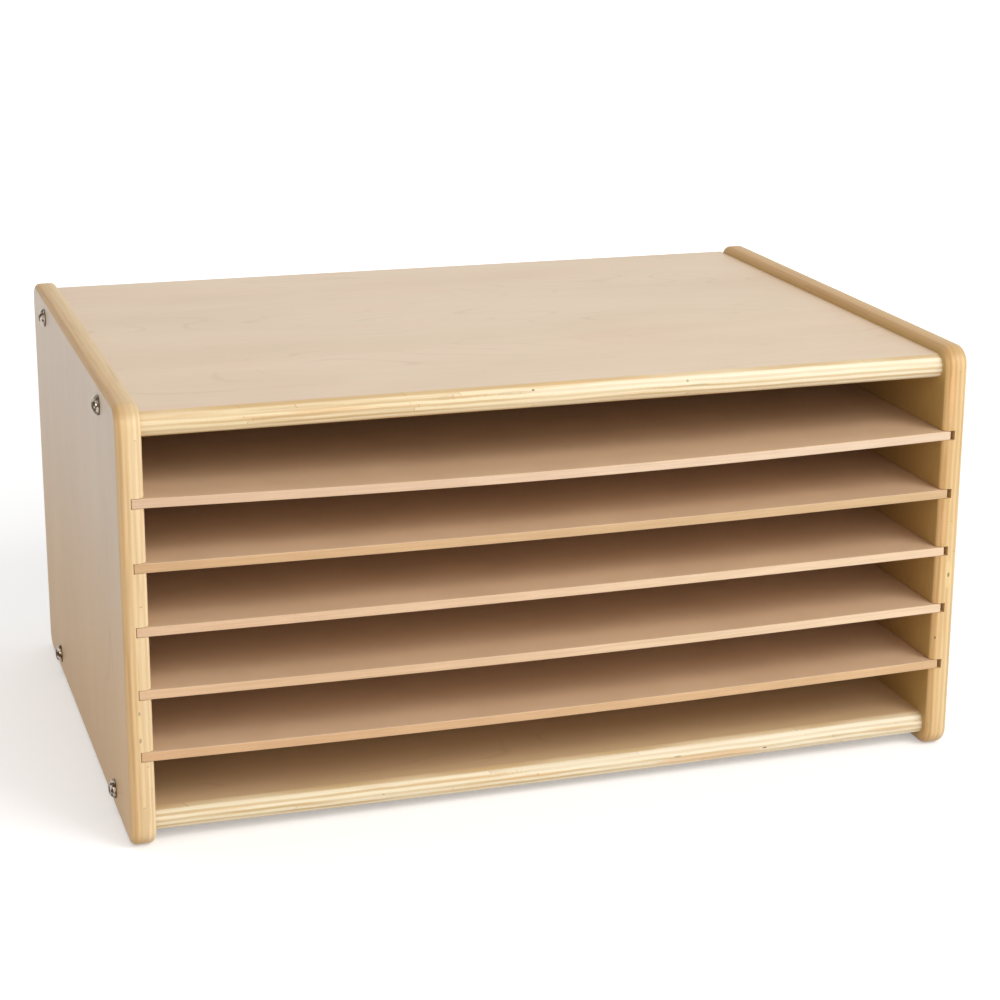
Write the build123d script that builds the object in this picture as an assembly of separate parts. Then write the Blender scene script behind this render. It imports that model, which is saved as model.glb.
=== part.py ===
"""Desktop paper rack: two plywood sides, a top and a bottom deck, a back board and five loose shelves.

Frame: millimetres, +X to the right, +Y to the back, +Z up. The origin is the centre of the footprint,
on the surface that the rack stands on. The open front looks along -Y.
"""

import os

from build123d import *

# ---- driving dimensions -------------------------------------------------------------------------

overall_width = 514.0  # over the outer faces of the two sides
overall_depth = 355.0  # front edge to back edge of a side
panel_t = 14.5  # sanded plywood of the sides and decks
board_t = 5.5  # thin board of the shelves and the back

side_edge_r = 4.0  # roundover along every edge of a side
side_corner_r = 12.0  # corners of a side, seen from beside it

stand_off = 6.5  # floor to the underside of the bottom deck
lowest_clear = 32.5  # clear height of the lowest compartment
shelf_pitch = 37.0  # one shelf to the next, and the top shelf to the top deck
shelf_count = 5
top_lip = 5.5  # how far the sides stand above the top deck

deck_setback = 6.5  # front edge of a side to the crest of a deck's rounded nose
deck_rear_ease = 1.0  # small rounding on the rear edges of a deck

slot_depth = 7.5  # shelf slots cut into the sides
slot_clear = 0.4  # slot height over the shelf's thickness
shelf_lift = 0.1  # running gap under a shelf in its slot
shelf_left_gap = 0.3  # shelf end to the blind wall of the left slot
shelf_right_gap = 2.7  # the same on the right, where a dark gap shows
shelf_rear_gap = 1.0  # rear edge of a shelf to the back board
shelf_ease = 0.6  # eased long edges of a shelf

back_inset = 9.0  # rear edge of a side to the rear face of the back board
back_tongue = 6.5  # how far the back board enters the sides and decks
back_fit = 0.2  # clearance all round the back board in its grooves

bolt_inset = 60.0  # bolt axes from the front and rear edges of a side
bolt_r = 3.0
bolt_length = 50.0  # under the head
bolt_hole_fit = 0.3  # radial clearance of the bolt in the wood
bolt_past_nut = 4.0  # axis of the barrel nut to the tip of the bolt, which ends in the nut
bolt_head_r = 5.8
bolt_head_h = 3.5
bolt_rim_h = 0.9  # straight rim under the sloped crown of the head
bolt_crown_r = 2.9  # flat ring round the socket
hex_across_flats = 4.0
hex_depth = 2.2

nut_r = 5.0
nut_length = 11.0
nut_fit = 0.05  # radial clearance of the nut in its hole, and of the bolt in the nut
nut_slot_w = 1.2  # screwdriver slot in the nut's open end
nut_slot_depth = 1.5

# ---- derived places -----------------------------------------------------------------------------

outer_x = overall_width / 2
inner_x = outer_x - panel_t
front_y = -overall_depth / 2
rear_y = overall_depth / 2

bottom_deck_z = stand_off
first_shelf_z = bottom_deck_z + panel_t + lowest_clear
top_deck_z = first_shelf_z + shelf_count * shelf_pitch
overall_height = top_deck_z + panel_t + top_lip

back_rear_y = rear_y - back_inset
back_front_y = back_rear_y - board_t

bolt_tip_x = outer_x - bolt_length
nut_x = bolt_tip_x + bolt_past_nut

cut_over = 1.0  # how far a cutter runs past the face that it opens


def block(x, y, z):
    """A box from its (low, high) pair on each axis."""
    size = Box(x[1] - x[0], y[1] - y[0], z[1] - z[0])
    return Pos((x[0] + x[1]) / 2, (y[0] + y[1]) / 2, (z[0] + z[1]) / 2) * size


def shelf_z(index):
    """Underside of a shelf, counted from 1 at the top."""
    return first_shelf_z + (shelf_count - index) * shelf_pitch


def deck_mid_z(deck_z):
    """Mid-plane of a deck, where its bolts run."""
    return deck_z + panel_t / 2


def bolt_ys():
    """Front and rear bolt axes."""
    return {"front": front_y + bolt_inset, "rear": rear_y - bolt_inset}


# ---- sides --------------------------------------------------------------------------------------


def side_blank(side):
    """Rounded plywood blank. side is -1 for the left and +1 for the right."""
    outline = Plane.YZ * RectangleRounded(overall_depth, overall_height, side_corner_r)
    blank = extrude(outline, panel_t / 2, both=True)
    blank = fillet(blank.faces().filter_by(Axis.X).edges(), side_edge_r)
    return Pos(side * (inner_x + panel_t / 2), 0, overall_height / 2) * blank


def inward(side, near, far):
    """X range of a cutter in a side, from near to far out of the inner face."""
    ends = (side * (inner_x + near), side * (inner_x + far))
    return (min(ends), max(ends))


def shelf_slots(side):
    """Through slots for the shelves, open at the front and rear edges."""
    reach = inward(side, -cut_over, slot_depth)
    cutters = []
    for index in range(1, shelf_count + 1):
        low = shelf_z(index) - shelf_lift
        high = low + board_t + slot_clear
        cutters.append(block(reach, (front_y - cut_over, rear_y + cut_over), (low, high)))
    return cutters


def back_groove_in_side(side):
    """Blind groove for the back board, as tall as the board with its clearance."""
    reach = inward(side, -cut_over, back_tongue + back_fit)
    low = bottom_deck_z + panel_t - back_tongue - back_fit
    high = top_deck_z + back_tongue + back_fit
    return block(reach, (back_front_y - back_fit, back_rear_y + back_fit), (low, high))


def bolt_hole(side, y, z, start_x, end_x):
    """Clearance hole for a bolt along X, from start_x to end_x out of the middle."""
    length = end_x - start_x
    hole = Rot(0, 90, 0) * Cylinder(bolt_r + bolt_hole_fit, length)
    return Pos(side * (start_x + end_x) / 2, y, z) * hole


def side_panel(side):
    """A side with its shelf slots, back groove and bolt holes."""
    panel = side_blank(side)
    for cutter in shelf_slots(side):
        panel -= cutter
    panel -= back_groove_in_side(side)
    for y in bolt_ys().values():
        for deck_z in (bottom_deck_z, top_deck_z):
            panel -= bolt_hole(side, y, deck_mid_z(deck_z), inner_x - cut_over, outer_x + cut_over)
    return panel


# ---- decks --------------------------------------------------------------------------------------


def deck_outline():
    """Section of a deck across its depth: a full half-round nose and eased rear edges."""
    nose_r = panel_t / 2
    nose_y = front_y + deck_setback + nose_r
    length = rear_y - nose_y
    flat = Pos(nose_y + length / 2, 0) * Rectangle(length, panel_t)
    flat = fillet(flat.vertices().group_by(Axis.X)[-1], deck_rear_ease)
    return flat + Pos(nose_y, 0) * Circle(nose_r)


def nut_holes(deck_z):
    """Blind holes from the deck's underside for the barrel nuts."""
    depth = panel_t / 2 + nut_length / 2
    cutters = []
    for side in (-1, 1):
        for y in bolt_ys().values():
            hole = Cylinder(nut_r + nut_fit, depth + cut_over)
            z = deck_z + (depth - cut_over) / 2
            cutters.append(Pos(side * nut_x, y, z) * hole)
    return cutters


def back_groove_in_deck(deck_z, faces_up):
    """Groove across a deck for the edge of the back board."""
    depth = back_tongue + back_fit
    if faces_up:
        z = (deck_z + panel_t - depth, deck_z + panel_t + cut_over)
    else:
        z = (deck_z - cut_over, deck_z + depth)
    y = (back_front_y - back_fit, back_rear_y + back_fit)
    return block((-inner_x - cut_over, inner_x + cut_over), y, z)


def deck(deck_z, faces_up):
    """A deck between the sides. faces_up says which face carries the back board's groove.

    The bolt holes run from the ends of the deck into the holes of the barrel nuts, where they stop.
    """
    section = Plane.YZ * deck_outline()
    panel = Pos(0, 0, deck_mid_z(deck_z)) * extrude(section, inner_x, both=True)
    panel -= back_groove_in_deck(deck_z, faces_up)
    for side in (-1, 1):
        for y in bolt_ys().values():
            panel -= bolt_hole(side, y, deck_mid_z(deck_z), nut_x, inner_x + cut_over)
    for cutter in nut_holes(deck_z):
        panel -= cutter
    return panel


# ---- boards -------------------------------------------------------------------------------------


def back_board():
    """Thin board held in grooves on all four sides."""
    half_x = inner_x + back_tongue
    z = (bottom_deck_z + panel_t - back_tongue, top_deck_z + back_tongue)
    return block((-half_x, half_x), (back_front_y, back_rear_y), z)


def shelf(index):
    """A loose shelf in its pair of slots, flush with the front edges of the sides."""
    x = (-inner_x - slot_depth + shelf_left_gap, inner_x + slot_depth - shelf_right_gap)
    y = (front_y, back_front_y - shelf_rear_gap)
    low = shelf_z(index)
    board = block(x, y, (low, low + board_t))
    return fillet(board.edges().filter_by(Axis.X), shelf_ease)


# ---- fasteners ----------------------------------------------------------------------------------


def bolt_profile():
    """Half section of the bolt, with its axis on Z, the head above Z = 0 and the shank below."""
    outline = Polyline(
        (0, bolt_head_h),
        (0, -bolt_length),
        (bolt_r, -bolt_length),
        (bolt_r, 0),
        (bolt_head_r, 0),
        (bolt_head_r, bolt_rim_h),
        (bolt_crown_r, bolt_head_h),
        close=True,
    )
    return Plane.XZ * make_face(outline)


def upright_bolt():
    """Button-head bolt standing on Z, with a hexagonal socket and no thread."""
    body = revolve(bolt_profile(), Axis.Z)
    socket = RegularPolygon(hex_across_flats / 2, 6, major_radius=False)
    return body - Pos(0, 0, bolt_head_h - hex_depth) * extrude(socket, hex_depth + cut_over)


def bolt(side, y, z):
    """A bolt through a side into a deck, its head against the side's outer face."""
    return Pos(side * outer_x, y, z) * Rot(0, side * 90, 0) * upright_bolt()


def barrel_nut(side, y, z):
    """A cross dowel in a deck, drilled for the bolt and slotted at its lower end."""
    nut = Cylinder(nut_r, nut_length)
    nut -= Rot(0, 90, 0) * Cylinder(bolt_r + nut_fit, 2 * nut_r + 2 * cut_over)
    slot = Box(2 * nut_r + 2 * cut_over, nut_slot_w, nut_slot_depth + cut_over)
    nut -= Pos(0, 0, -nut_length / 2 + (nut_slot_depth - cut_over) / 2) * slot
    return Pos(side * nut_x, y, z) * nut


# ---- assembly -----------------------------------------------------------------------------------


def build():
    """Every piece of the rack by its node name."""
    pieces = {
        "left_side_panel": side_panel(-1),
        "right_side_panel": side_panel(1),
        "top_deck": deck(top_deck_z, faces_up=False),
        "bottom_deck": deck(bottom_deck_z, faces_up=True),
        "back_board": back_board(),
    }
    for index in range(1, shelf_count + 1):
        pieces[f"shelf_{index}"] = shelf(index)
    for side_name, side in (("left", -1), ("right", 1)):
        for deck_name, deck_z in (("top", top_deck_z), ("bottom", bottom_deck_z)):
            for place, y in bolt_ys().items():
                where = f"{side_name}_{deck_name}_{place}"
                pieces[f"bolt_{where}"] = bolt(side, y, deck_mid_z(deck_z))
                pieces[f"barrel_nut_{where}"] = barrel_nut(side, y, deck_mid_z(deck_z))
    return pieces


os.makedirs("parts", exist_ok=True)
for node, shape in build().items():
    export_step(shape, f"parts/{node}.step")
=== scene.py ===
"""Finishes and fine pieces of a desktop paper rack, built round its fixed solids.

Lengths are in metres: +X to the right, +Y to the back, +Z up, and the rack stands on Z = 0. The two
sides, the top deck, the back board and the barrel nuts keep their solids and get their finishes here.
The bottom deck and the five shelves are made again with the sag that they have taken, and the eight
bolts with their domes, sockets and threads.
"""

import logging
import math
from dataclasses import dataclass
from enum import Enum
from typing import Sequence

import bmesh
import bpy
from mathutils import Matrix, Vector


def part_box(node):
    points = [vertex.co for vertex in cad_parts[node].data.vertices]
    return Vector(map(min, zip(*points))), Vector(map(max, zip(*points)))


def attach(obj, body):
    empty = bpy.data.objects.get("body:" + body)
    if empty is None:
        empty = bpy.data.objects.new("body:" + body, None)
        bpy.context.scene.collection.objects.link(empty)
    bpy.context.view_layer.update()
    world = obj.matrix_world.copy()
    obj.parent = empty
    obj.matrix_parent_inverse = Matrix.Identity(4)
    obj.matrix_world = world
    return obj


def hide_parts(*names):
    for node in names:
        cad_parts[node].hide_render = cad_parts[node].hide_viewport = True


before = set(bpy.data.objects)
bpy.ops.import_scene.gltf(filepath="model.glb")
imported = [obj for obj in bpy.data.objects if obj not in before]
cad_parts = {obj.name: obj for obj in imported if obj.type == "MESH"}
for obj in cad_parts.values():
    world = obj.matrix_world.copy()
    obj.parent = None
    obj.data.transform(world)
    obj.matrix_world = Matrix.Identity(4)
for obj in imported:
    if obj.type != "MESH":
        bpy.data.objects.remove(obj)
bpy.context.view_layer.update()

log = logging.getLogger("paper_rack")

MM = 0.001
FIXED_BODY = "rack"

Colour = tuple[float, float, float]
Triple = tuple[float, float, float]
Socket = bpy.types.NodeSocket
Value = Socket | float | Sequence[float]


class Axis(Enum):
    """An axis of the rack, by its place in a vector."""

    X = 0
    Y = 1
    Z = 2


class Slot(Enum):
    """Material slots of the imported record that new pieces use."""

    PLYWOOD = "birch_plywood"
    BOARD = "thin_board"
    BOLT = "bolt_steel"


class Layer(Enum):
    """Mesh attributes that the finishes read."""

    FLAT = "flat_place"
    # Share of painted shade and painted dark reflection on a bolt head.
    RECESS = "painted_dark"


# ---- shader nodes -------------------------------------------------------------------------------


class Graph:
    """Builds the nodes of one material round its Principled shader."""

    def __init__(self, name: str) -> None:
        """Start an empty material.

        Args:
            name: The material's name.
        """
        self.material = bpy.data.materials.new(name)
        self.material.use_nodes = True
        self.tree = self.material.node_tree
        self.shader = self.tree.nodes["Principled BSDF"]

    def put(self, socket: Socket, value: Value) -> None:
        """Link a socket to another, or set its constant.

        Args:
            socket: The input to fill.
            value: An output socket, a number, or a colour or vector.
        """
        if isinstance(value, bpy.types.NodeSocket):
            self.tree.links.new(value, socket)
        elif socket.type == "RGBA":
            socket.default_value = (*value, 1.0)[:4]
        else:
            socket.default_value = value

    def node(
        self, kind: str, inputs: dict[int | str, Value] | None = None, **settings: object
    ) -> bpy.types.Node:
        """Add a node.

        Args:
            kind: Its type, without the leading ShaderNode.
            inputs: Values by input name or place.
            settings: Attributes of the node.

        Returns:
            The new node.
        """
        made = self.tree.nodes.new("ShaderNode" + kind)
        for key, setting in settings.items():
            setattr(made, key, setting)
        for key, value in (inputs or {}).items():
            self.put(made.inputs[key], value)
        return made

    def math(self, operation: str, first: Value, second: Value = 0.0, third: Value = 0.0) -> Socket:
        """One Math node.

        Args:
            operation: The operation's name, in capitals.
            first: First operand.
            second: Second operand.
            third: Third operand.

        Returns:
            The result.
        """
        return self.node("Math", {0: first, 1: second, 2: third}, operation=operation).outputs[0]

    def ramp(self, value: Value, low: float, high: float, start: Value = 0.0, end: Value = 1.0) -> Socket:
        """A smooth step of a value.

        Args:
            value: The value.
            low: Where the step starts.
            high: Where the step ends.
            start: The result at low.
            end: The result at high.

        Returns:
            The stepped value.
        """
        inputs = {"Value": value, "From Min": low, "From Max": high, "To Min": start, "To Max": end}
        return self.node("MapRange", inputs, interpolation_type="SMOOTHSTEP").outputs["Result"]

    def blend(self, share: Value, first: Value, second: Value, mode: str = "MIX") -> Socket:
        """A mix of two colours.

        Args:
            share: How much of the second shows.
            first: The first colour.
            second: The second colour.
            mode: The blend mode.

        Returns:
            The mixed colour.
        """
        made = self.node("Mix", data_type="RGBA", blend_type=mode)
        self.put(made.inputs[0], share)
        self.put(made.inputs[6], first)
        self.put(made.inputs[7], second)
        return made.outputs[2]

    def vector(self, parts: Sequence[Value], scales: Sequence[float] = (1.0, 1.0, 1.0)) -> Socket:
        """A vector of three parts, each times its own scale."""
        scaled = [self.math("MULTIPLY", part, scale) for part, scale in zip(parts, scales)]
        return self.node("CombineXYZ", dict(enumerate(scaled))).outputs[0]

    def noise(self, place: Value, detail: float = 2.0, roughness: float = 0.5, warp: float = 0.0) -> Socket:
        """Smooth noise from 0 to 1 at a place that is already scaled.

        Args:
            place: Where to read it, in periods of the noise.
            detail: Octaves of finer noise.
            roughness: Strength of the finer octaves.
            warp: How far the noise bends itself.

        Returns:
            The noise's value.
        """
        inputs = {
            "Vector": place,
            "Scale": 1.0,
            "Detail": detail,
            "Roughness": roughness,
            "Distortion": warp,
        }
        return self.node("TexNoise", inputs).outputs["Fac"]

    def chance(self, parts: Sequence[Value]) -> Socket:
        """A fixed random number from 0 to 1 for each place."""
        place = self.vector(parts)
        return self.node("TexWhiteNoise", {"Vector": place}, noise_dimensions="3D").outputs["Value"]

    def place(self, flat: bool = False) -> Socket:
        """Where the surface lies, in metres: on the object, or on the board before it sagged."""
        if flat:
            return self.node("Attribute", attribute_name=Layer.FLAT.value).outputs["Vector"]
        return self.node("TexCoord").outputs["Object"]

    def parts(self, vector: Socket) -> list[Socket]:
        """The X, Y and Z of a vector."""
        return list(self.node("SeparateXYZ", {0: vector}).outputs)

    def bump(self, height: Value, depth: float) -> Socket:
        """A bumped normal.

        Args:
            height: Height from 0 to 1.
            depth: How deep 1 is, in metres.

        Returns:
            The normal.
        """
        return self.node("Bump", {"Strength": 1.0, "Distance": depth, "Height": height}).outputs["Normal"]

    def finish(self, **inputs: Value) -> bpy.types.Material:
        """Fill the Principled shader.

        Args:
            inputs: Its inputs by name, with underscores for spaces.

        Returns:
            The finished material.
        """
        for key, value in inputs.items():
            self.put(self.shader.inputs[key.replace("_", " ")], value)
        return self.material


# ---- finishes -----------------------------------------------------------------------------------


@dataclass(frozen=True)
class Mark:
    """One mark on the wood: a knot, a slit, a patched strip, a stain, or a band of painted highlight."""

    centre: Triple
    reach: Triple
    colour: Colour
    strength: float = 0.85

    def lay(self, g: Graph, place: Socket, ragged: Socket, tone: Socket) -> Socket:
        """Lay the mark over a colour.

        Args:
            g: The graph.
            place: Where the surface lies.
            ragged: Noise that frays the mark's outline.
            tone: The colour under the mark.

        Returns:
            The colour with the mark on it.
        """
        centre = [c * MM for c in self.centre]
        reach = [r * MM for r in self.reach]
        offset = g.node("VectorMath", {0: place, 1: centre}, operation="SUBTRACT").outputs[0]
        scaled = g.node("VectorMath", {0: offset, 1: reach}, operation="DIVIDE").outputs[0]
        far = g.node("VectorMath", {0: scaled}, operation="LENGTH").outputs["Value"]
        frayed = g.math("MULTIPLY_ADD", ragged, 0.6, far)
        return g.blend(g.ramp(frayed, 0.85, 1.15, self.strength, 0.0), tone, self.colour)


KNOT: Colour = (0.11, 0.07, 0.04)
MOSS: Colour = (0.36, 0.33, 0.19)
MOSS_DARK: Colour = (0.24, 0.19, 0.11)
STRAW: Colour = (0.84, 0.64, 0.30)
# Painted highlight: the bright band on the right half of each deck's nose.
NOSE_HIGHLIGHT: Colour = (0.83, 0.735, 0.545)
AMBER: Colour = (0.74, 0.43, 0.20)
TOFFEE: Colour = (0.52, 0.36, 0.19)
WHITE: Colour = (1.0, 1.0, 1.0)
FIGURE_SHADE: Colour = (0.72, 0.64, 0.56)
BARE_END_SHADE: Colour = (0.62, 0.55, 0.42)


@dataclass(frozen=True)
class WoodTones:
    """Colours of one panel, and the tints of its cut edges across the panel and along the grain; the foot,
    inner-face and edge tints are painted light and shade.
    """

    face: Colour
    painted_foot_shade: Colour
    inner_face_shade: Colour
    edge_light: Colour
    edge_dark: Colour
    edge_orange: Colour = (0.74, 0.47, 0.22)
    near_edge_shade: Colour = WHITE
    far_edge_light: Colour = WHITE
    start: Colour = WHITE
    stop: Colour = WHITE
    glue: Colour = (0.42, 0.26, 0.13)


@dataclass(frozen=True)
class Plywood:
    """Birch plywood under a clear satin lacquer: figured faces and striped cut edges.

    across runs through the plies and grain along the face grain. inward is the sign of the inner face,
    and grain_ends are where the panel ends along the grain. Scales of noise are periods per metre.
    """

    name: str
    across: Axis
    grain: Axis
    inward: float
    middle: float
    thickness: float
    grain_ends: tuple[float, float]
    seed: float
    outer_plies_dark: bool
    tones: WoodTones
    marks: tuple[Mark, ...] = ()
    flat: bool = False
    bare_ends: bool = False
    middle_plies: float = 1.0
    ply_count: int = 9
    strip_length: float = 95 * MM
    swell: float = 2.6 * MM
    ripple: float = 1.1 * MM
    relief: float = 0.06 * MM
    roughness: float = 0.38
    face_skin: tuple[float, float] = (0.03 * MM, 0.3 * MM)
    foot_shade_fades: tuple[float, float] = (30 * MM, 255 * MM)
    bare_end: tuple[float, float] = (9 * MM, 3 * MM)
    bare_end_plies: float = 0.45

    def material(self) -> bpy.types.Material:
        """The material for one panel."""
        g = Graph(self.name)
        place = g.place(self.flat)
        part = g.parts(place)
        depth = g.math("SUBTRACT", part[self.across.value], self.middle)
        rest = next(axis for axis in Axis if axis not in (self.across, self.grain))
        along = g.math("ADD", part[self.grain.value], self.seed)
        aside = g.math("ADD", part[rest.value], self.seed)
        below = g.math("SUBTRACT", self.thickness / 2, g.math("ABSOLUTE", depth))
        cut = g.ramp(below, *self.face_skin)
        face, face_height = self.figure(g, along, aside, part[Axis.Z.value], depth)
        edge, edge_height = self.plies(g, along, aside, depth, part[self.grain.value])
        tone = g.blend(cut, face, edge)
        ragged = g.math("SUBTRACT", g.noise(g.vector(part, (700.0, 700.0, 700.0)), 2.0), 0.5)
        for mark in self.marks:
            tone = mark.lay(g, place, ragged, tone)
        smears = g.noise(g.vector((along, aside, depth)), 3.0)
        roughness = g.math("MULTIPLY_ADD", smears, 0.12, self.roughness)
        height = g.node("Mix", {0: cut, 2: face_height, 3: edge_height}).outputs[0]
        return g.finish(
            Base_Color=tone,
            Roughness=g.math("MULTIPLY_ADD", cut, 0.06, roughness),
            Normal=g.bump(height, self.relief),
            Specular_IOR_Level=0.35,
            Coat_Weight=0.1,
            Coat_Roughness=0.3,
        )

    def figure(
        self, g: Graph, along: Socket, aside: Socket, up: Socket, depth: Socket
    ) -> tuple[Socket, Socket]:
        """Figure of a face veneer.

        Args:
            g: The graph.
            along: Place along the grain.
            aside: Place across the grain.
            up: Height over the ground.
            depth: Distance from the panel's mid-plane.

        Returns:
            Colour and height.
        """

        def stretched(
            fine: float, coarse: float, offset: float, detail: float, warp: float = 0.0
        ) -> Socket:
            """Noise with fine periods across the grain and coarse ones along it, both per metre."""
            return g.noise(g.vector((along, aside, offset), (coarse, fine, 1.0)), detail, 0.55, warp)

        # Painted shade: the face grows darker and warmer towards its foot.
        base = g.blend(g.ramp(up, *self.foot_shade_fades), self.tones.painted_foot_shade, self.tones.face)
        # Painted shade: inner faces take a darker, browner colour.
        inside = g.ramp(g.math("MULTIPLY", depth, self.inward), -1 * MM, 1 * MM)
        base = g.blend(inside, base, self.tones.inner_face_shade)
        patches = g.ramp(stretched(14.0, 4.0, 3.1, 3.0, 0.4), 0.33, 0.67)
        blush = g.ramp(stretched(22.0, 7.0, 9.7, 2.0, 0.6), 0.45, 0.75)
        sheen = g.blend(patches, (0.965, 0.955, 0.94), (1.03, 1.04, 1.055))
        sheen = g.blend(blush, sheen, g.blend(1.0, sheen, (1.0, 0.965, 0.985), "MULTIPLY"))
        rings = g.math("MULTIPLY", stretched(15.0, 2.6, 5.3, 1.5, 0.4), 19.0)
        line = g.ramp(g.math("PINGPONG", rings, 0.5), 0.0, 0.10, 1.0, 0.0)
        seen = g.ramp(stretched(26.0, 12.0, 1.7, 2.0), 0.40, 0.68)
        fleck = g.ramp(stretched(900.0, 55.0, 2.2, 2.0), 0.68, 0.80)
        fibre = stretched(2600.0, 30.0, 6.6, 2.0)
        for share in (
            g.math("MULTIPLY", g.math("MULTIPLY", line, seen), 0.30),
            g.math("MULTIPLY", fleck, 0.32),
            g.ramp(fibre, 0.3, 0.7, 0.0, 0.14),
        ):
            sheen = g.blend(share, sheen, FIGURE_SHADE)
        height = g.math("SUBTRACT", fibre, g.math("MULTIPLY", fleck, 0.8))
        return g.blend(1.0, base, sheen, "MULTIPLY"), height

    def plies(
        self, g: Graph, along: Socket, aside: Socket, depth: Socket, on_grain: Socket
    ) -> tuple[Socket, Socket]:
        """Plies of a cut edge.

        Args:
            g: The graph.
            along: Place along the face grain.
            aside: Place across the face grain.
            depth: Distance from the panel's mid-plane.
            on_grain: Place along the face grain, without the seed.

        Returns:
            Colour and height.
        """
        run = g.math("ADD", along, aside)
        layer = self.layer(g, run, depth)
        index = g.math("ROUND", layer)
        joint, chance, second = self.strips(g, run, index)
        streak = g.noise(g.vector((run, depth, chance), (22.0, 2600.0, 30.0)), 3.0, 0.6)
        dark = self.dark_plies(g, run, layer, index, streak)
        dark = g.math("MULTIPLY", dark, self.end_grain(g, on_grain))
        tone = g.blend(dark, self.tones.edge_light, self.tones.edge_dark)
        warmth = g.noise(g.vector((run, depth, 3.0), (14.0, 420.0, 1.0)), 2.0)
        tone = g.blend(g.ramp(warmth, 0.52, 0.76, 0.0, 0.55), tone, self.tones.edge_orange)
        inlay = g.math("MULTIPLY", g.ramp(second, 0.86, 0.88), g.ramp(streak, 0.35, 0.65, 0.15, 0.85))
        tone = g.blend(g.math("MULTIPLY", inlay, 0.45), tone, TOFFEE)
        tone = g.blend(g.ramp(streak, 0.2, 0.8, 0.0, 0.24), tone, self.tones.edge_dark)
        pores = g.noise(g.vector((along, aside, depth), (1600.0, 1600.0, 1600.0)), 1.0)
        tone = g.blend(g.ramp(pores, 0.55, 0.8, 0.0, 0.16), tone, self.tones.glue)
        seam = g.math("ABSOLUTE", g.math("SUBTRACT", layer, index))
        seam = g.ramp(seam, 0.44, 0.5, 0.0, 0.28)
        tone = g.blend(g.math("MAXIMUM", seam, joint), tone, self.tones.glue)
        height = g.math("SUBTRACT", streak, g.math("MULTIPLY", seam, 1.6))
        return self.tinted(g, tone, depth, on_grain), height

    def layer(self, g: Graph, run: Socket, depth: Socket) -> Socket:
        """Which ply lies at a place, with the slow sway that sanding and pressing give the plies.

        Args:
            g: The graph.
            run: Place along the edge.
            depth: Distance from the panel's mid-plane.

        Returns:
            The ply's number as a fraction, 0 in the middle. It stays whole on the outermost plies.
        """
        inside = g.math("DIVIDE", depth, self.thickness / 2)
        inside = g.math("SUBTRACT", 1.0, g.math("MULTIPLY", inside, inside))
        swell = g.math("SUBTRACT", g.noise(g.vector((run, depth, 0.0), (9.0, 30.0, 1.0)), 1.0), 0.5)
        ripple = g.math("SUBTRACT", g.noise(g.vector((run, depth, 7.0), (40.0, 350.0, 1.0)), 2.0), 0.5)
        sway = g.math("MULTIPLY_ADD", ripple, self.ripple, g.math("MULTIPLY", swell, self.swell))
        layer = g.math("MULTIPLY_ADD", sway, inside, depth)
        layer = g.math("DIVIDE", layer, self.thickness / self.ply_count)
        outermost = (self.ply_count - 1) / 2
        return g.math("MAXIMUM", g.math("MINIMUM", layer, outermost), -outermost)

    def dark_plies(self, g: Graph, run: Socket, layer: Socket, index: Socket, streak: Socket) -> Socket:
        """The darker plies, whose grain runs into the edge.

        Args:
            g: The graph.
            run: Place along the edge.
            layer: The ply's number as a fraction.
            index: The ply's number.
            streak: Streaks of the edge, from 0 to 1.

        Returns:
            How dark the place is, from 0 to 1.
        """
        from_even = g.math("PINGPONG", layer, 1.0)
        from_dark = from_even if self.outer_plies_dark else g.math("SUBTRACT", 1.0, from_even)
        dark = g.ramp(g.math("MULTIPLY_ADD", streak, 0.30, from_dark), 0.38, 0.74, 1.0, 0.0)
        steady = g.ramp(g.noise(g.vector((run, index, 0.0), (12.0, 7.3, 1.0)), 1.0), 0.35, 0.65, 0.5, 1.0)
        outermost = (self.ply_count - 1) / 2
        outwards = g.ramp(g.math("ABSOLUTE", layer), 0.0, outermost, self.middle_plies, 1.0)
        return g.math("MULTIPLY", dark, g.math("MULTIPLY", steady, outwards))

    def tinted(self, g: Graph, tone: Socket, depth: Socket, on_grain: Socket) -> Socket:
        """The slow changes of a cut edge's tone: painted light and shade across the panel and along it, and
        darker bare ends.

        Args:
            g: The graph.
            tone: The colour before them.
            depth: Distance from the panel's mid-plane.
            on_grain: Place along the face grain, without the seed.

        Returns:
            The changed colour.
        """
        reach = self.thickness / 2
        low, high = self.grain_ends
        # Painted light and shade: one side of the edge lighter, the other darker, and one end darker.
        across = g.blend(g.ramp(depth, -reach, reach), self.tones.near_edge_shade, self.tones.far_edge_light)
        down = g.blend(g.ramp(on_grain, low, high), self.tones.start, self.tones.stop)
        tone = g.blend(1.0, g.blend(1.0, tone, across, "MULTIPLY"), down, "MULTIPLY")
        end = g.math("SUBTRACT", 1.0, self.end_grain(g, on_grain))
        return g.blend(end, tone, g.blend(1.0, tone, BARE_END_SHADE, "MULTIPLY"))

    def end_grain(self, g: Graph, on_grain: Socket) -> Value:
        """How strongly the plies show: less at bare ends of the grain, where the whole edge is darker.

        Args:
            g: The graph.
            on_grain: Place along the grain.

        Returns:
            A share, which is 1 away from the ends.
        """
        if not self.bare_ends:
            return 1.0
        low, high = self.grain_ends
        half = (high - low) / 2
        reach = g.math("ABSOLUTE", g.math("SUBTRACT", on_grain, (low + high) / 2))
        starts, full = self.bare_end
        return g.ramp(reach, half - starts, half - full, 1.0, self.bare_end_plies)

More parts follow.
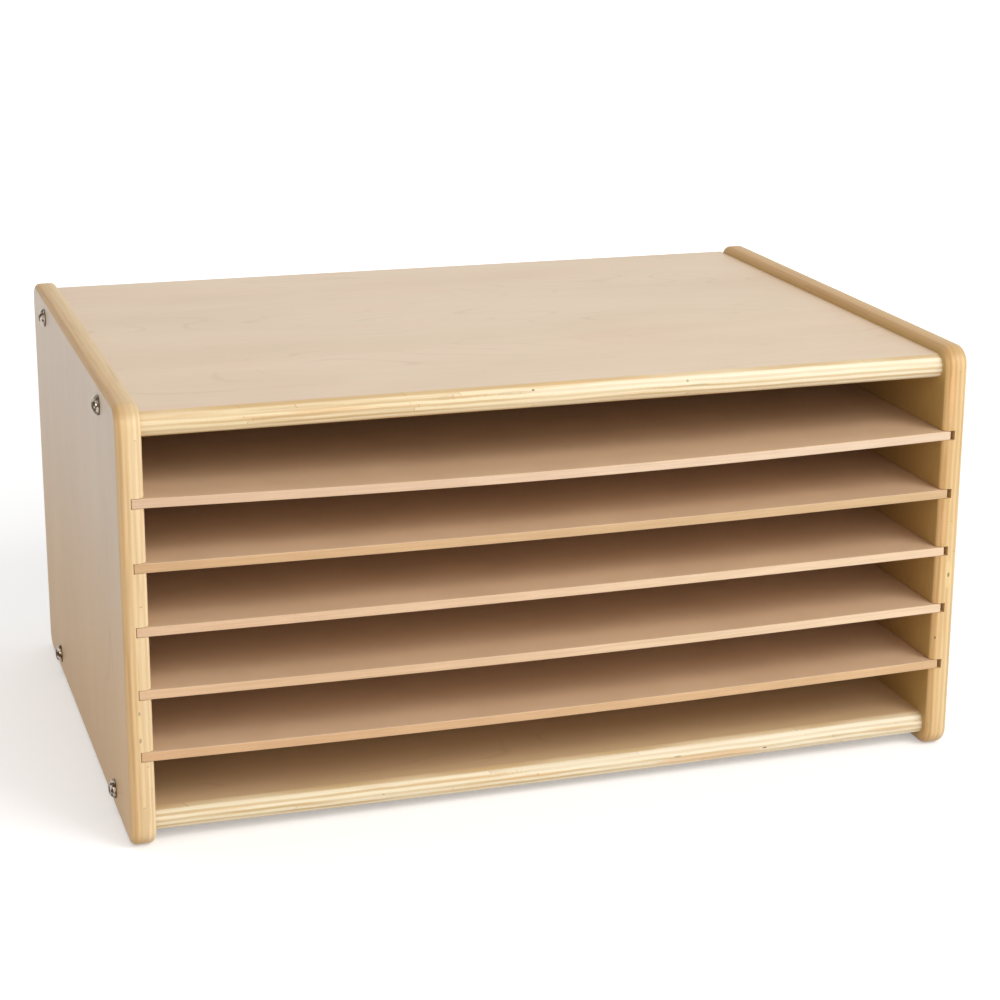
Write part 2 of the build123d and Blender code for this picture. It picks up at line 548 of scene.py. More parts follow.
    def strips(self, g: Graph, run: Socket, index: Socket) -> tuple[Socket, Socket, Socket]:
        """Strips of veneer that are butted together in a ply.

        Args:
            g: The graph.
            run: Place along the edge.
            index: The ply's number.

        Returns:
            Darkness of the butt joint and two random numbers of the strip.
        """
        shift = g.chance((index, 3.0, self.seed))
        strip = g.math("MULTIPLY_ADD", run, 1.0 / self.strip_length, g.math("MULTIPLY", shift, 5.0))
        number = g.math("FLOOR", strip)
        end = g.math("PINGPONG", strip, 0.5)
        chance = g.chance((index, number, self.seed))
        second = g.chance((index, number, self.seed + 5.0))
        gap = g.ramp(end, 0.002, 0.006, 1.0, 0.0)
        joint = g.math("MULTIPLY", gap, g.ramp(second, 0.75, 0.90, 0.0, 0.6))
        return joint, chance, second


@dataclass(frozen=True)
class FibreBoard:
    """Smooth pressed board with a fine mottle and fuzzier cut edges."""

    name: str
    middle: float
    thickness: float
    across: Axis
    seed: float
    edge_left: Colour = (0.72, 0.50, 0.31)
    edge_right: Colour = (0.78, 0.58, 0.39)
    face: Colour = (0.70, 0.49, 0.31)
    flat: bool = False
    face_skin: tuple[float, float] = (0.05 * MM, 0.5 * MM)
    edge_span: tuple[float, float] = (-240 * MM, 240 * MM)
    relief: float = 0.05 * MM

    def material(self) -> bpy.types.Material:
        """The material for one board."""
        g = Graph(self.name)
        part = g.parts(g.place(self.flat))
        depth = g.math("SUBTRACT", part[self.across.value], self.middle)
        moved = [g.math("ADD", p, self.seed) for p in part]
        cloud = g.noise(g.vector(moved, (18.0, 18.0, 18.0)), 4.0, 0.6)
        fuzz = g.noise(g.vector(moved, (1500.0, 1500.0, 1500.0)), 2.0)
        below = g.math("SUBTRACT", self.thickness / 2, g.math("ABSOLUTE", depth))
        cut = g.ramp(below, *self.face_skin)
        sheen = g.blend(g.ramp(cloud, 0.35, 0.65), (1.02, 1.02, 1.02), (0.96, 0.95, 0.94))
        edge = g.blend(g.ramp(part[Axis.X.value], *self.edge_span), self.edge_left, self.edge_right)
        layers = g.noise(g.vector((moved[0], moved[1], depth), (25.0, 25.0, 1100.0)), 3.0)
        layered = g.math("MULTIPLY", cut, g.ramp(layers, 0.35, 0.7, 0.0, 0.6))
        sheen = g.blend(layered, sheen, (0.84, 0.80, 0.74))
        sheen = g.blend(g.ramp(fuzz, 0.5, 0.8, 0.0, 0.25), sheen, (0.80, 0.74, 0.68))
        nap = g.math("MULTIPLY", fuzz, g.math("MULTIPLY_ADD", cut, 0.8, 0.2))
        return g.finish(
            Base_Color=g.blend(1.0, g.blend(cut, self.face, edge), sheen, "MULTIPLY"),
            Roughness=g.math("MULTIPLY_ADD", cut, 0.15, 0.55),
            Normal=g.bump(nap, self.relief),
            Specular_IOR_Level=0.3,
        )


@dataclass(frozen=True)
class Plated:
    """Plated steel with fine turning marks, a mottle that is partly grime and partly painted dark
    reflection, and painted shade and dark reflection on the places its mesh marks.
    """

    name: str
    # bright and dull make the mottle; recess is the colour of the painted shade and dark reflection.
    bright: Colour
    dull: Colour
    painted_dark: Colour
    roughness: float
    relief: float = 0.004 * MM

    def material(self) -> bpy.types.Material:
        """The material for every piece of this plating."""
        g = Graph(self.name)
        part = g.parts(g.place())
        # The mottle is partly grime and partly painted dark reflections of the room.
        grime_and_reflection = g.noise(g.vector(part, (330.0, 330.0, 330.0)), 3.0)
        marks = g.noise(g.vector(part, (900.0, 5200.0, 5200.0)), 2.0)
        painted_dark_share = g.node("Attribute", attribute_name=Layer.RECESS.value).outputs["Fac"]
        tone = g.blend(g.ramp(grime_and_reflection, 0.42, 0.58), self.bright, self.dull)
        roughness = g.math("MULTIPLY_ADD", grime_and_reflection, 0.14, self.roughness)
        return g.finish(
            Base_Color=g.blend(painted_dark_share, tone, self.painted_dark),
            Metallic=1.0,
            Roughness=g.math("MULTIPLY_ADD", painted_dark_share, 0.25, roughness),
            Normal=g.bump(marks, self.relief),
        )


# ---- meshes -------------------------------------------------------------------------------------


def as_object(bm: bmesh.types.BMesh, name: str, smooth_below: float = 35.0) -> bpy.types.Object:
    """Turn a bmesh into a piece at the origin.

    Args:
        bm: The mesh, which is freed.
        name: The piece's name.
        smooth_below: Edges that turn less than this many degrees are shaded smooth.

    Returns:
        The new object.
    """
    bmesh.ops.recalc_face_normals(bm, faces=bm.faces)
    for face in bm.faces:
        face.smooth = True
    for edge in bm.edges:
        edge.smooth = len(edge.link_faces) == 2 and edge.calc_face_angle(0.0) < math.radians(smooth_below)
    mesh = bpy.data.meshes.new(name)
    bm.to_mesh(mesh)
    bm.free()
    piece = bpy.data.objects.new(name, mesh)
    bpy.context.scene.collection.objects.link(piece)
    shading = piece.modifiers.new("even_shading", "WEIGHTED_NORMAL")
    shading.keep_sharp = True
    return piece


def dress(piece: bpy.types.Object, material: bpy.types.Material) -> None:
    """Give a piece one material on every face.

    Args:
        piece: The piece, new or carried over.
        material: Its material.
    """
    if not piece.material_slots:
        piece.data.materials.append(material)
    for slot in piece.material_slots:
        slot.material = material


def stand_in(piece: bpy.types.Object, node: str, body: str = FIXED_BODY) -> None:
    """Let a new piece take the place of a solid.

    Args:
        piece: The new piece.
        node: The solid's node.
        body: The body that it moves with.
    """
    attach(piece, body)
    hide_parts(node)


@dataclass(frozen=True)
class Sag:
    """The curve of an evenly loaded board that is held at both ends."""

    low_x: float
    high_x: float
    drop: float
    bays: int = 32

    def apply(self, bm: bmesh.types.BMesh) -> None:
        """Cut a flat board into bays, keep where each point lay and let the board down.

        Args:
            bm: The flat board.
        """
        for bay in range(self.bays + 1):
            point = (self.low_x + (self.high_x - self.low_x) * bay / self.bays, 0.0, 0.0)
            whole = bm.verts[:] + bm.edges[:] + bm.faces[:]
            bmesh.ops.bisect_plane(bm, geom=whole, plane_co=point, plane_no=(1.0, 0.0, 0.0))
        flat = bm.verts.layers.float_vector.new(Layer.FLAT.value)
        for vert in bm.verts:
            vert[flat] = vert.co
            vert.co.z -= self.at(vert.co.x)

    def at(self, x: float) -> float:
        """How far the board hangs at one place."""
        share = abs(x - (self.low_x + self.high_x) / 2) / ((self.high_x - self.low_x) / 2)
        share = min(1.0, share) ** 2
        return self.drop * (1.0 - 1.2 * share + 0.2 * share * share)


# ---- sub-assemblies -----------------------------------------------------------------------------


# Panel tones. painted_foot_shade paints shade at the foot of a face, inner_face_shade paints shade on inner
# faces, and near_edge_shade, far_edge_light, start and stop paint light and shade on the cut edges.
LEFT_TONES = WoodTones(
    # This face is set darker than its wood: painted shade that offsets the sparkle lamp's light.
    face=(0.558, 0.432, 0.313),
    painted_foot_shade=(0.564, 0.350, 0.150),
    inner_face_shade=(0.500, 0.310, 0.105),
    edge_light=(0.82, 0.60, 0.33),
    edge_dark=(0.60, 0.385, 0.185),
    edge_orange=(0.60, 0.36, 0.15),
    near_edge_shade=(0.82, 0.72, 0.59),
    far_edge_light=(1.10, 1.18, 1.30),
)
RIGHT_TONES = WoodTones(
    face=(0.582, 0.453, 0.333),
    painted_foot_shade=(0.580, 0.400, 0.235),
    inner_face_shade=(0.510, 0.320, 0.105),
    edge_light=(0.82, 0.60, 0.33),
    edge_dark=(0.58, 0.36, 0.16),
    edge_orange=(0.66, 0.37, 0.14),
    near_edge_shade=(0.86, 0.76, 0.60),
    far_edge_light=(1.00, 1.04, 1.06),
    stop=(0.94, 0.89, 0.81),
)
TOP_DECK_TONES = WoodTones(
    face=(0.682, 0.525, 0.364),
    painted_foot_shade=(0.682, 0.525, 0.364),
    inner_face_shade=(0.600, 0.420, 0.220),
    edge_light=(0.86, 0.75, 0.54),
    edge_dark=(0.59, 0.42, 0.22),
    start=(0.95, 0.88, 0.76),
)
BOTTOM_DECK_TONES = WoodTones(
    face=(0.660, 0.500, 0.310),
    painted_foot_shade=(0.660, 0.500, 0.310),
    inner_face_shade=(0.690, 0.500, 0.290),
    edge_light=(0.89, 0.80, 0.60),
    edge_dark=(0.62, 0.45, 0.24),
    start=(0.97, 0.94, 0.88),
)

LEFT_MARKS = (
    Mark((-250.1, -177.5, 82.7), (0.6, 3.0, 1.2), MOSS_DARK, 0.90),
    Mark((-250.1, -177.5, 66.6), (0.7, 3.0, 1.4), MOSS_DARK, 0.90),
    Mark((-250.3, -177.5, 75.0), (0.9, 3.0, 10.0), STRAW, 0.35),
    Mark((-254.6, -175.0, 216.0), (1.3, 5.0, 34.0), TOFFEE, 0.40),
    Mark((-253.6, -176.5, 143.0), (0.8, 5.0, 26.0), TOFFEE, 0.40),
    Mark((-251.6, -177.5, 196.0), (0.5, 3.0, 22.0), TOFFEE, 0.30),
)
RIGHT_MARKS = (
    Mark((251.0, -177.5, 115.0), (2.2, 3.0, 9.0), STRAW, 0.45),
    Mark((251.3, -177.5, 114.7), (0.7, 3.0, 1.6), KNOT, 0.70),
    Mark((244.8, -177.0, 73.8), (0.5, 2.5, 1.0), KNOT),
    Mark((246.6, -177.0, 228.0), (1.6, 4.0, 17.0), AMBER, 0.50),
    Mark((246.0, -177.0, 147.0), (1.6, 4.0, 11.0), AMBER, 0.35),
    Mark((247.6, -177.0, 190.0), (0.5, 4.0, 30.0), TOFFEE, 0.40),
    Mark((248.9, -177.0, 96.0), (0.5, 4.0, 34.0), TOFFEE, 0.35),
    Mark((244.2, -175.5, 15.5), (1.2, 4.0, 2.0), TOFFEE, 0.70),
)
TOP_MARKS = (
    # Painted highlight along the right half of the nose.
    Mark((112.0, -169.5, 249.0), (150.0, 7.0, 2.3), NOSE_HIGHLIGHT, 0.50),
    Mark((-157.0, -169.5, 250.0), (30.0, 7.0, 0.5), TOFFEE, 0.45),
    Mark((-157.0, -169.5, 248.5), (30.0, 7.0, 0.4), TOFFEE, 0.30),
    Mark((-70.5, -169.5, 249.2), (5.5, 7.0, 1.1), TOFFEE, 0.35),
    Mark((-66.0, -169.5, 249.2), (0.8, 7.0, 1.2), TOFFEE, 0.70),
    Mark((-29.0, -169.5, 249.2), (11.0, 7.0, 1.0), TOFFEE, 0.40),
    Mark((-18.3, -169.5, 249.9), (0.9, 7.0, 0.45), KNOT),
    Mark((76.3, -169.5, 248.9), (0.8, 7.0, 0.8), MOSS),
    Mark((83.0, -169.5, 246.2), (7.0, 7.0, 0.6), MOSS, 0.40),
)
BOTTOM_MARKS = (
    # Painted highlight along the right half of the nose.
    Mark((110.0, -169.5, 17.6), (150.0, 7.0, 2.2), NOSE_HIGHLIGHT, 0.50),
    Mark((-14.0, -169.5, 13.8), (20.0, 7.0, 1.5), AMBER, 0.28),
    Mark((97.0, -169.5, 11.8), (36.0, 7.0, 2.0), AMBER, 0.45),
    Mark((-109.0, -169.5, 14.0), (0.8, 7.0, 0.5), TOFFEE),
    Mark((-13.5, -169.5, 14.6), (0.7, 7.0, 0.4), TOFFEE),
    Mark((76.3, -169.5, 14.3), (2.6, 7.0, 0.5), MOSS_DARK, 0.55),
    Mark((134.2, -169.5, 12.5), (1.3, 7.0, 0.5), KNOT),
)


@dataclass
class Panel:
    """One plywood panel, carried over from the solids."""

    node: str
    across: Axis
    grain: Axis
    inward: float
    seed: float
    outer_plies_dark: bool
    tones: WoodTones
    marks: tuple[Mark, ...] = ()
    bare_ends: bool = False
    middle_plies: float = 1.0

    def build(self) -> None:
        """Dress the panel."""
        dress(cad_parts[self.node], self.finish().material())
        log.info("%s: plywood", self.node)

    def finish(self, flat: bool = False) -> Plywood:
        """The panel's finish.

        Args:
            flat: Whether to read the place that each point had before a sag.

        Returns:
            The finish.
        """
        low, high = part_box(self.node)
        k = self.across.value
        return Plywood(
            name=f"{self.node}_plywood",
            across=self.across,
            grain=self.grain,
            inward=self.inward,
            middle=(low[k] + high[k]) / 2,
            thickness=high[k] - low[k],
            grain_ends=(low[self.grain.value], high[self.grain.value]),
            seed=self.seed,
            outer_plies_dark=self.outer_plies_dark,
            tones=self.tones,
            marks=self.marks,
            flat=flat,
            bare_ends=self.bare_ends,
            middle_plies=self.middle_plies,
        )


@dataclass
class SaggedPanel(Panel):
    """A deck made again from its solid, let down a little in the middle."""

    drop: float = 1.5 * MM

    def build(self) -> None:
        """Copy, bend and dress the deck."""
        low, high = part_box(self.node)
        bm = bmesh.new()
        bm.from_mesh(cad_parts[self.node].data)
        bmesh.ops.remove_doubles(bm, verts=bm.verts, dist=0.001 * MM)
        bmesh.ops.dissolve_limit(bm, angle_limit=math.radians(1.0), verts=bm.verts, edges=bm.edges)
        Sag(low.x, high.x, self.drop).apply(bm)
        piece = as_object(bm, f"sagged_{self.node}")
        dress(piece, self.finish(flat=True).material())
        stand_in(piece, self.node)
        log.info("%s: sag %.1f mm", piece.name, self.drop / MM)


@dataclass
class Carcass:
    """The fixed frame of the rack: sides, decks and back board."""

    panels: tuple[Panel, ...] = (
        Panel(
            node="left_side_panel",
            across=Axis.X,
            grain=Axis.Z,
            inward=1.0,
            seed=1.7,
            outer_plies_dark=False,
            tones=LEFT_TONES,
            marks=LEFT_MARKS,
            bare_ends=True,
            middle_plies=0.45,
        ),
        Panel(
            node="right_side_panel",
            across=Axis.X,
            grain=Axis.Z,
            inward=-1.0,
            seed=4.0,
            outer_plies_dark=False,
            tones=RIGHT_TONES,
            marks=RIGHT_MARKS,
            bare_ends=True,
            middle_plies=0.45,
        ),
        Panel(
            node="top_deck",
            across=Axis.Z,
            grain=Axis.X,
            inward=-1.0,
            seed=6.1,
            outer_plies_dark=True,
            tones=TOP_DECK_TONES,
            marks=TOP_MARKS,
        ),
        SaggedPanel(
            node="bottom_deck",
            across=Axis.Z,
            grain=Axis.X,
            inward=1.0,
            seed=9.2,
            outer_plies_dark=True,
            tones=BOTTOM_DECK_TONES,
            marks=BOTTOM_MARKS,
        ),
    )

    def build(self) -> None:
        """Dress every fixed panel."""
        for panel in self.panels:
            panel.build()
        low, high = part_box("back_board")
        board = FibreBoard("back_board_fibre", (low.y + high.y) / 2, high.y - low.y, Axis.Y, 4.4)
        dress(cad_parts["back_board"], board.material())
        log.info("back_board: fibre board")


@dataclass
class Shelf:
    """A loose shelf that has sagged a little between its slots."""

    number: int
    drop: float
    edge_left: Colour
    edge_right: Colour
    ease: float = 0.6 * MM
    ease_segments: int = 4

    def build(self) -> None:
        """Model, dress and seat the shelf."""
        node = f"shelf_{self.number}"
        low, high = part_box(node)
        bm = bmesh.new()
        bmesh.ops.create_cube(bm, size=1.0)
        bmesh.ops.scale(bm, vec=high - low, verts=bm.verts)
        bmesh.ops.translate(bm, vec=(low + high) / 2, verts=bm.verts)
        bmesh.ops.bevel(
            bm,
            geom=bm.edges[:],
            offset=self.ease,
            affect="EDGES",
            segments=self.ease_segments,
            profile=0.5,
            material=-1,
        )
        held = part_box("top_deck")
        Sag(held[0].x, held[1].x, self.drop).apply(bm)
        piece = as_object(bm, f"sagged_shelf_{self.number}")
        finish = FibreBoard(
            name=f"{node}_fibre",
            middle=(low.z + high.z) / 2,
            thickness=high.z - low.z,
            across=Axis.Z,
            seed=1.3 * self.number,
            edge_left=self.edge_left,
            edge_right=self.edge_right,
            flat=True,
        )
        dress(piece, finish.material())
        stand_in(piece, node, body=node)
        log.info("%s: sag %.1f mm", piece.name, self.drop / MM)


@dataclass
class Shelves:
    """The five shelves, from the top one down, each with its sag and the tones of its front edge."""

    shelves: tuple[Shelf, ...] = (
        Shelf(1, 3.6 * MM, (0.68, 0.47, 0.315), (0.76, 0.58, 0.42)),
        Shelf(2, 2.0 * MM, (0.60, 0.38, 0.200), (0.63, 0.43, 0.240)),
        Shelf(3, 1.4 * MM, (0.69, 0.46, 0.290), (0.79, 0.59, 0.400)),
        Shelf(4, 2.3 * MM, (0.67, 0.44, 0.260), (0.79, 0.59, 0.400)),
        Shelf(5, 2.4 * MM, (0.64, 0.395, 0.215), (0.66, 0.435, 0.240)),
    )

    def build(self) -> None:
        """Build the shelves."""
        for shelf in self.shelves:
            shelf.build()


@dataclass
class ButtonBolt:
    """A bolt with a domed head, a hexagonal socket, a plain neck and a rolled thread.

    It is turned upright, its head above Z = 0 and its shank below, and then laid in its place.
    """

    node: str
    turn: float
    head_radius: float = 5.8 * MM
    head_height: float = 3.5 * MM
    rim_height: float = 0.9 * MM
    crown_radius: float = 2.9 * MM
    mouth_radius: float = 2.5 * MM
    socket_flats: float = 4.0 * MM
    socket_depth: float = 2.2 * MM
    cone_depth: float = 0.8 * MM
    soften: float = 0.25 * MM
    neck_radius: float = 3.0 * MM
    root_radius: float = 2.4 * MM
    thread_length: float = 24.0 * MM
    thread_pitch: float = 1.0 * MM
    around: int = 48
    thread_around: int = 24
    dome_steps: int = 8
    # Share of the head's height where its painted dark reflection is least.
    least_dark_share: float = 0.62

    def build(self, plating: bpy.types.Material) -> None:
        """Turn, lay and dress the bolt.

        Args:
            plating: Its material.
        """
        low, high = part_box(self.node)
        side = math.copysign(1.0, low.x + high.x)
        head_x, tip_x = (high.x, low.x) if side > 0 else (low.x, high.x)
        seat_x = head_x - side * self.head_height
        length = abs(tip_x - seat_x)
        bm = bmesh.new()
        painted_dark = bm.verts.layers.float.new(Layer.RECESS.value)
        self.turn_body(bm, length)
        # Painted dark reflection on the head: darker towards the rim and the socket's mouth.
        for vert in bm.verts:
            vert[painted_dark] = self.painted_dark_at(vert.co.xy.length, vert.co.z)
        self.sink_socket(bm, painted_dark)
        self.roll_thread(bm, length)
        seat = Vector((seat_x, (low.y + high.y) / 2, (low.z + high.z) / 2))
        laid = Matrix.Rotation(side * math.pi / 2, 4, "Y") @ Matrix.Rotation(self.turn, 4, "Z")
        bmesh.ops.transform(bm, matrix=Matrix.Translation(seat) @ laid, verts=bm.verts)
        piece = as_object(bm, self.node.replace("bolt_", "button_bolt_"))
        dress(piece, plating)
        stand_in(piece, self.node)
        log.info("%s: %.0f mm long", piece.name, length / MM)

    def section(self, length: float) -> list[tuple[float, float]]:
        """Half section from the tip to the mouth of the socket, as radius and height.

        Args:
            length: Length under the head.

        Returns:
            Its points.
        """
        rise = self.head_height - self.rim_height
        crown = self.crown_radius**2 + self.head_height**2
        rim = self.head_radius**2 + self.rim_height**2
        centre = (crown - rim) / (2 * rise)
        radius = math.hypot(self.head_radius, self.rim_height - centre)
        start = math.atan2(self.rim_height - centre, self.head_radius)
        end = math.atan2(self.head_height - centre, self.crown_radius)
        dome = []
        for step in range(self.dome_steps + 1):
            angle = start + (end - start) * step / self.dome_steps
            dome.append((radius * math.cos(angle), centre + radius * math.sin(angle)))
        neck_end = self.thread_length - length
        return [
            (0.0, -length),
            (self.root_radius - 2 * self.soften, -length),
            (self.root_radius, 2 * self.soften - length),
            (self.root_radius, neck_end),
            (self.neck_radius, neck_end + 2 * self.soften),
            (self.neck_radius, 0.0),
            (self.head_radius - self.soften, 0.0),
            (self.head_radius, self.soften),
            *dome,
            (self.mouth_radius, self.head_height),
        ]

    def turn_body(self, bm: bmesh.types.BMesh, length: float) -> None:
        """Turn the head, the neck and the core of the thread.

        Args:
            bm: The mesh.
            length: Length under the head.
        """
        verts = [bm.verts.new((radius, 0.0, height)) for radius, height in self.section(length)]
        edges = [bm.edges.new(pair) for pair in zip(verts, verts[1:])]
        bmesh.ops.spin(
            bm,
            geom=verts + edges,
            cent=(0, 0, 0),
            axis=(0, 0, 1),
            angle=math.tau,
            steps=self.around,
            use_merge=True,
        )
        bmesh.ops.remove_doubles(bm, verts=bm.verts, dist=0.001 * MM)

    def painted_dark_at(self, radius: float, height: float) -> float:
        """How much painted shade and painted dark reflection the head takes: most at the rim that meets the
        wood and at the socket's mouth, least halfway up the dome.

        Args:
            radius: Distance from the bolt's axis.
            height: Height over the seat of the head.

        Returns:
            A share.
        """
        if height < 0.0:
            return 0.0
        if radius <= self.mouth_radius:
            return 1.0
        up = height / self.head_height
        return min(1.0, abs(up - self.least_dark_share) / self.least_dark_share) ** 2

    def sink_socket(self, bm: bmesh.types.BMesh, painted_dark: bmesh.types.BMLayerItem) -> None:
        """Sink the hexagonal socket from its round mouth, down to a drilled cone.

        Args:
            bm: The mesh, open at the mouth.
            painted_dark: The layer of painted shade and dark reflection, full in the socket.
        """
        ring = [edge for edge in bm.edges if edge.is_boundary]
        floor = self.head_height - self.socket_depth
        # The socket's walls and floor take full painted shade.
        for height in (self.head_height - self.soften, floor):
            grown = bmesh.ops.extrude_edge_only(bm, edges=ring)["geom"]
            ring = [part for part in grown if isinstance(part, bmesh.types.BMEdge) and part.is_boundary]
            for vert in {vert for edge in ring for vert in edge.verts}:
                angle = math.atan2(vert.co.y, vert.co.x)
                radius = self.on_hexagon(angle)
                vert.co = (radius * math.cos(angle), radius * math.sin(angle), height)
                vert[painted_dark] = 1.0
        grown = bmesh.ops.extrude_edge_only(bm, edges=ring)["geom"]
        foot = [part for part in grown if isinstance(part, bmesh.types.BMVert)]
        for vert in foot:
            vert[painted_dark] = 1.0
        bmesh.ops.pointmerge(bm, verts=foot, merge_co=(0.0, 0.0, floor - self.cone_depth))

    def on_hexagon(self, angle: float) -> float:
        """Radius of the socket's hexagon at an angle."""
        sixth = math.pi / 3
        return self.socket_flats / 2 / math.cos(angle % sixth - sixth / 2)

    def roll_thread(self, bm: bmesh.types.BMesh, length: float) -> None:
        """Wind the thread's ridge round its core.

        Args:
            bm: The mesh.
            length: Length under the head.
        """
        pitch = self.thread_pitch
        low = 2 * self.soften - length
        turns = int((self.thread_length - 4 * self.soften) / pitch) - 1
        root = self.root_radius - self.soften
        crest = self.neck_radius
        ridge = ((root, 0.08), (crest, 0.44), (crest, 0.56), (root, 0.92))
        verts = [bm.verts.new((radius, 0.0, low + share * pitch)) for radius, share in ridge]
        edges = [bm.edges.new(pair) for pair in zip(verts, verts[1:] + verts[:1])]
        wound = bmesh.ops.spin(
            bm,
            geom=verts + edges,
            cent=(0, 0, 0),
            axis=(0, 0, 1),
            dvec=(0, 0, pitch / self.thread_around),
            angle=math.tau * turns,
            steps=self.thread_around * turns,
        )
        last = [part for part in wound["geom_last"] if isinstance(part, bmesh.types.BMEdge)]
        for end in (edges, last):
            bmesh.ops.contextual_create(bm, geom=end)


@dataclass
class Fasteners:
    """Bolts and barrel nuts."""

    # Nickel: warm bright and near-black dull tones paint reflections of wood and of a dark room; the recess
    # tone is painted shade and dark reflection.
    nickel: Plated = Plated(
        name="nickel_plate",
        bright=(0.60, 0.51, 0.42),
        dull=(0.08, 0.05, 0.03),
        painted_dark=(0.03, 0.018, 0.010),
        roughness=0.10,
    )
    zinc: Plated = Plated(
        name="zinc_plate",
        bright=(0.68, 0.68, 0.66),
        dull=(0.50, 0.50, 0.49),
        painted_dark=(0.40, 0.40, 0.39),
        roughness=0.34,
    )
    turn_between: float = 0.61

    def build(self) -> None:
        """Make the bolts and dress the barrel nuts."""
        nickel = self.nickel.material()
        zinc = self.zinc.material()
        bolts = sorted(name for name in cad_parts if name.startswith("bolt_"))
        for number, node in enumerate(bolts):
            ButtonBolt(node, self.turn_between * number).build(nickel)
        nuts = [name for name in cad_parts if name.startswith("barrel_nut_")]
        for node in nuts:
            dress(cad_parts[node], zinc)
        log.info("barrel nuts: %d dressed", len(nuts))


# ---- studio -------------------------------------------------------------------------------------


@dataclass(frozen=True)
class Softbox:
    """A square area lamp aimed at the rack."""

    name: str
    place: tuple[float, float, float]
    size: float
    power: float
    colour: Colour = WHITE

    def build(self, aim: Vector) -> None:
        """Hang the lamp.

        Args:
            aim: The point that it faces.
        """
        lamp = bpy.data.lights.new(self.name, "AREA")
        lamp.size = self.size
        lamp.energy = self.power
        lamp.color = self.colour
        hung = bpy.data.objects.new(self.name, lamp)
        hung.location = self.place
        hung.rotation_euler = (aim - Vector(self.place)).to_track_quat("-Z", "Y").to_euler()
        bpy.context.scene.collection.objects.link(hung)


@dataclass(frozen=True)
class Viewpoint:
    """The camera: where it stands, how it turns and how its lens frames the rack."""

    place: tuple[float, float, float] = (-0.43240, -1.40600, 0.57919)
    yaw: float = math.radians(19.276)
    pitch: float = math.radians(16.037)
    roll: float = math.radians(0.705)
    lens: float = 84.84
    sensor: float = 36.0
    shift: tuple[float, float] = (-0.0625, -0.0329)

    def build(self) -> None:
        """Set the camera up and make it the scene's own."""
        ahead = Vector((math.sin(self.yaw), math.cos(self.yaw), 0.0))
        forward = ahead * math.cos(self.pitch) - Vector((0.0, 0.0, math.sin(self.pitch)))
        level = Vector((math.cos(self.yaw), -math.sin(self.yaw), 0.0))
        upright = level.cross(forward)
        right = level * math.cos(self.roll) + upright * math.sin(self.roll)
        up = upright * math.cos(self.roll) - level * math.sin(self.roll)
        data = bpy.data.cameras.new("camera")
        data.lens, data.sensor_width = self.lens, self.sensor
        data.shift_x, data.shift_y = self.shift
        data.clip_start, data.clip_end = 0.01, 50.0
        camera = bpy.data.objects.new("camera", data)
        turn = Matrix((right, up, -forward)).transposed().to_4x4()
        camera.matrix_world = Matrix.Translation(Vector(self.place)) @ turn
        bpy.context.scene.collection.objects.link(camera)
        bpy.context.scene.camera = camera


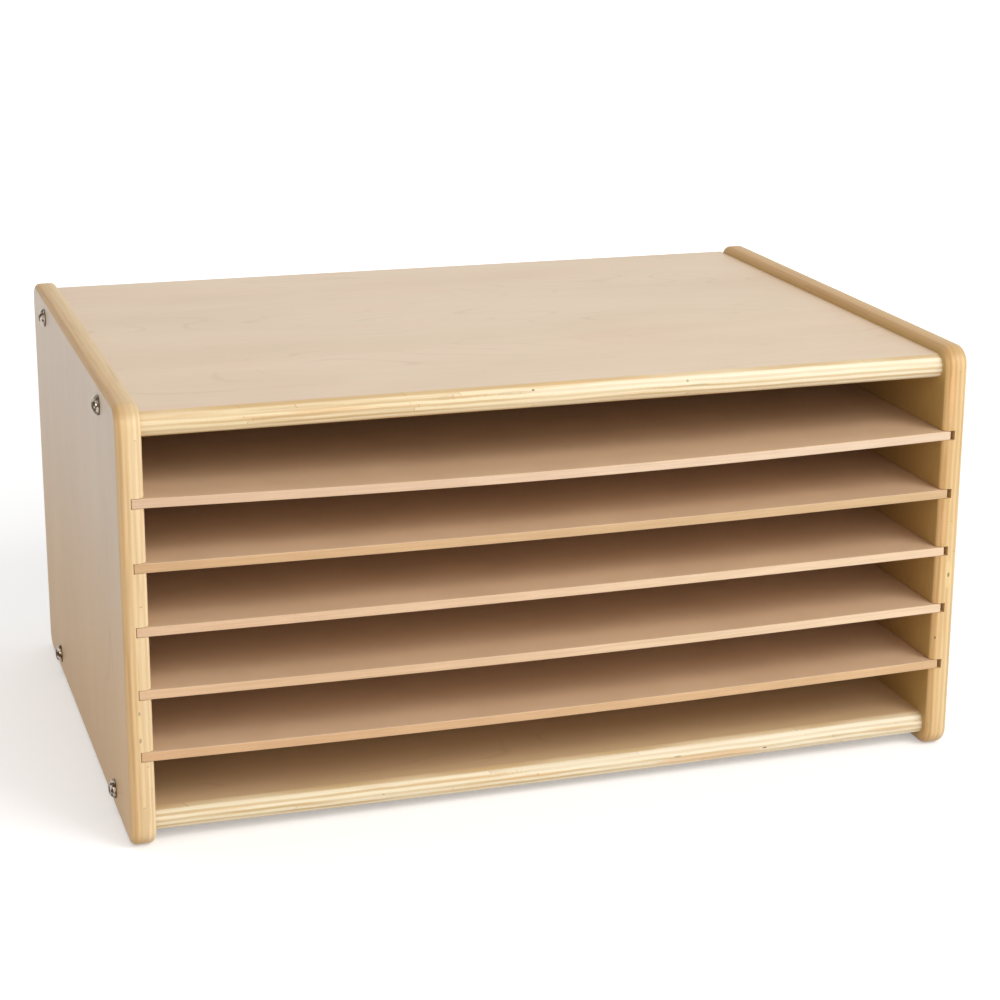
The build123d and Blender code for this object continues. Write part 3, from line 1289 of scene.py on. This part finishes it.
@dataclass
class Studio:
    """White floor, white surround and soft lamps."""

    floor_half: float = 6.0
    floor_colour: Colour = (0.86, 0.86, 0.86)
    floor_lift: tuple[float, float] = (0.31, 1.0)
    lift_grows: tuple[float, float] = (0.5, 2.5)
    ambient: float = 0.52
    aim: tuple[float, float, float] = (0.0, 0.0, 0.12)
    boxes: tuple[Softbox, ...] = (
        Softbox("key", (1.1, -1.7, 1.8), 1.2, 30.0),
        Softbox("overhead", (-0.2, 0.4, 2.2), 1.8, 8.0),
        Softbox("front", (0.2, -2.6, 0.9), 1.6, 17.0),
        Softbox("sparkle", (-2.2, -0.6, 0.5), 0.35, 3.0),
    )

    def build(self) -> None:
        """Build the whole studio."""
        for box in self.boxes:
            box.build(Vector(self.aim))
        Viewpoint().build()
        self.floor()
        self.surround()
        bpy.context.scene.view_settings.view_transform = "Standard"
        log.info("studio: %d lamps", len(self.boxes))

    def floor(self) -> None:
        """A large pale floor that looks white to the camera and keeps the rack's shadow."""
        bm = bmesh.new()
        bmesh.ops.create_grid(bm, x_segments=1, y_segments=1, size=self.floor_half)
        floor = as_object(bm, "floor")
        g = Graph("floor_white")
        tree = g.tree
        rays = g.node("LightPath")
        lit = g.node("BsdfDiffuse", {"Color": self.floor_colour})
        away = g.node("VectorMath", {0: g.place()}, operation="LENGTH").outputs["Value"]
        strength = g.ramp(away, *self.lift_grows, *self.floor_lift)
        lift = g.node("Emission", {"Color": WHITE, "Strength": strength})
        both = g.node("AddShader", {0: lit.outputs[0], 1: lift.outputs[0]})
        shown = g.math("MAXIMUM", rays.outputs["Is Camera Ray"], rays.outputs["Is Glossy Ray"])
        pick = g.node("MixShader", {0: shown, 1: lit.outputs[0], 2: both.outputs[0]})
        tree.links.new(pick.outputs[0], tree.nodes["Material Output"].inputs["Surface"])
        tree.nodes.remove(g.shader)
        dress(floor, g.material)

    def surround(self) -> None:
        """A world that is white to look at and lights the rack evenly."""
        world = bpy.data.worlds.new("surround")
        bpy.context.scene.world = world
        world.use_nodes = True
        nodes, links = world.node_tree.nodes, world.node_tree.links
        rays = nodes.new("ShaderNodeLightPath")
        seen = nodes.new("ShaderNodeMath")
        seen.operation = "MAXIMUM"
        strength = nodes.new("ShaderNodeMapRange")
        strength.inputs["To Min"].default_value = self.ambient
        strength.inputs["To Max"].default_value = 1.0
        links.new(rays.outputs["Is Camera Ray"], seen.inputs[0])
        links.new(rays.outputs["Is Glossy Ray"], seen.inputs[1])
        links.new(seen.outputs[0], strength.inputs["Value"])
        nodes["Background"].inputs["Color"].default_value = (*WHITE, 1.0)
        links.new(strength.outputs["Result"], nodes["Background"].inputs["Strength"])


# ---- the whole scene ----------------------------------------------------------------------------


def main() -> None:
    """Build every piece in order, then the studio."""
    logging.basicConfig(level=logging.INFO, format="%(name)s %(message)s")
    for part in (Carcass(), Shelves(), Fasteners(), Studio()):
        part.build()


if __name__ == "__main__":
    main()
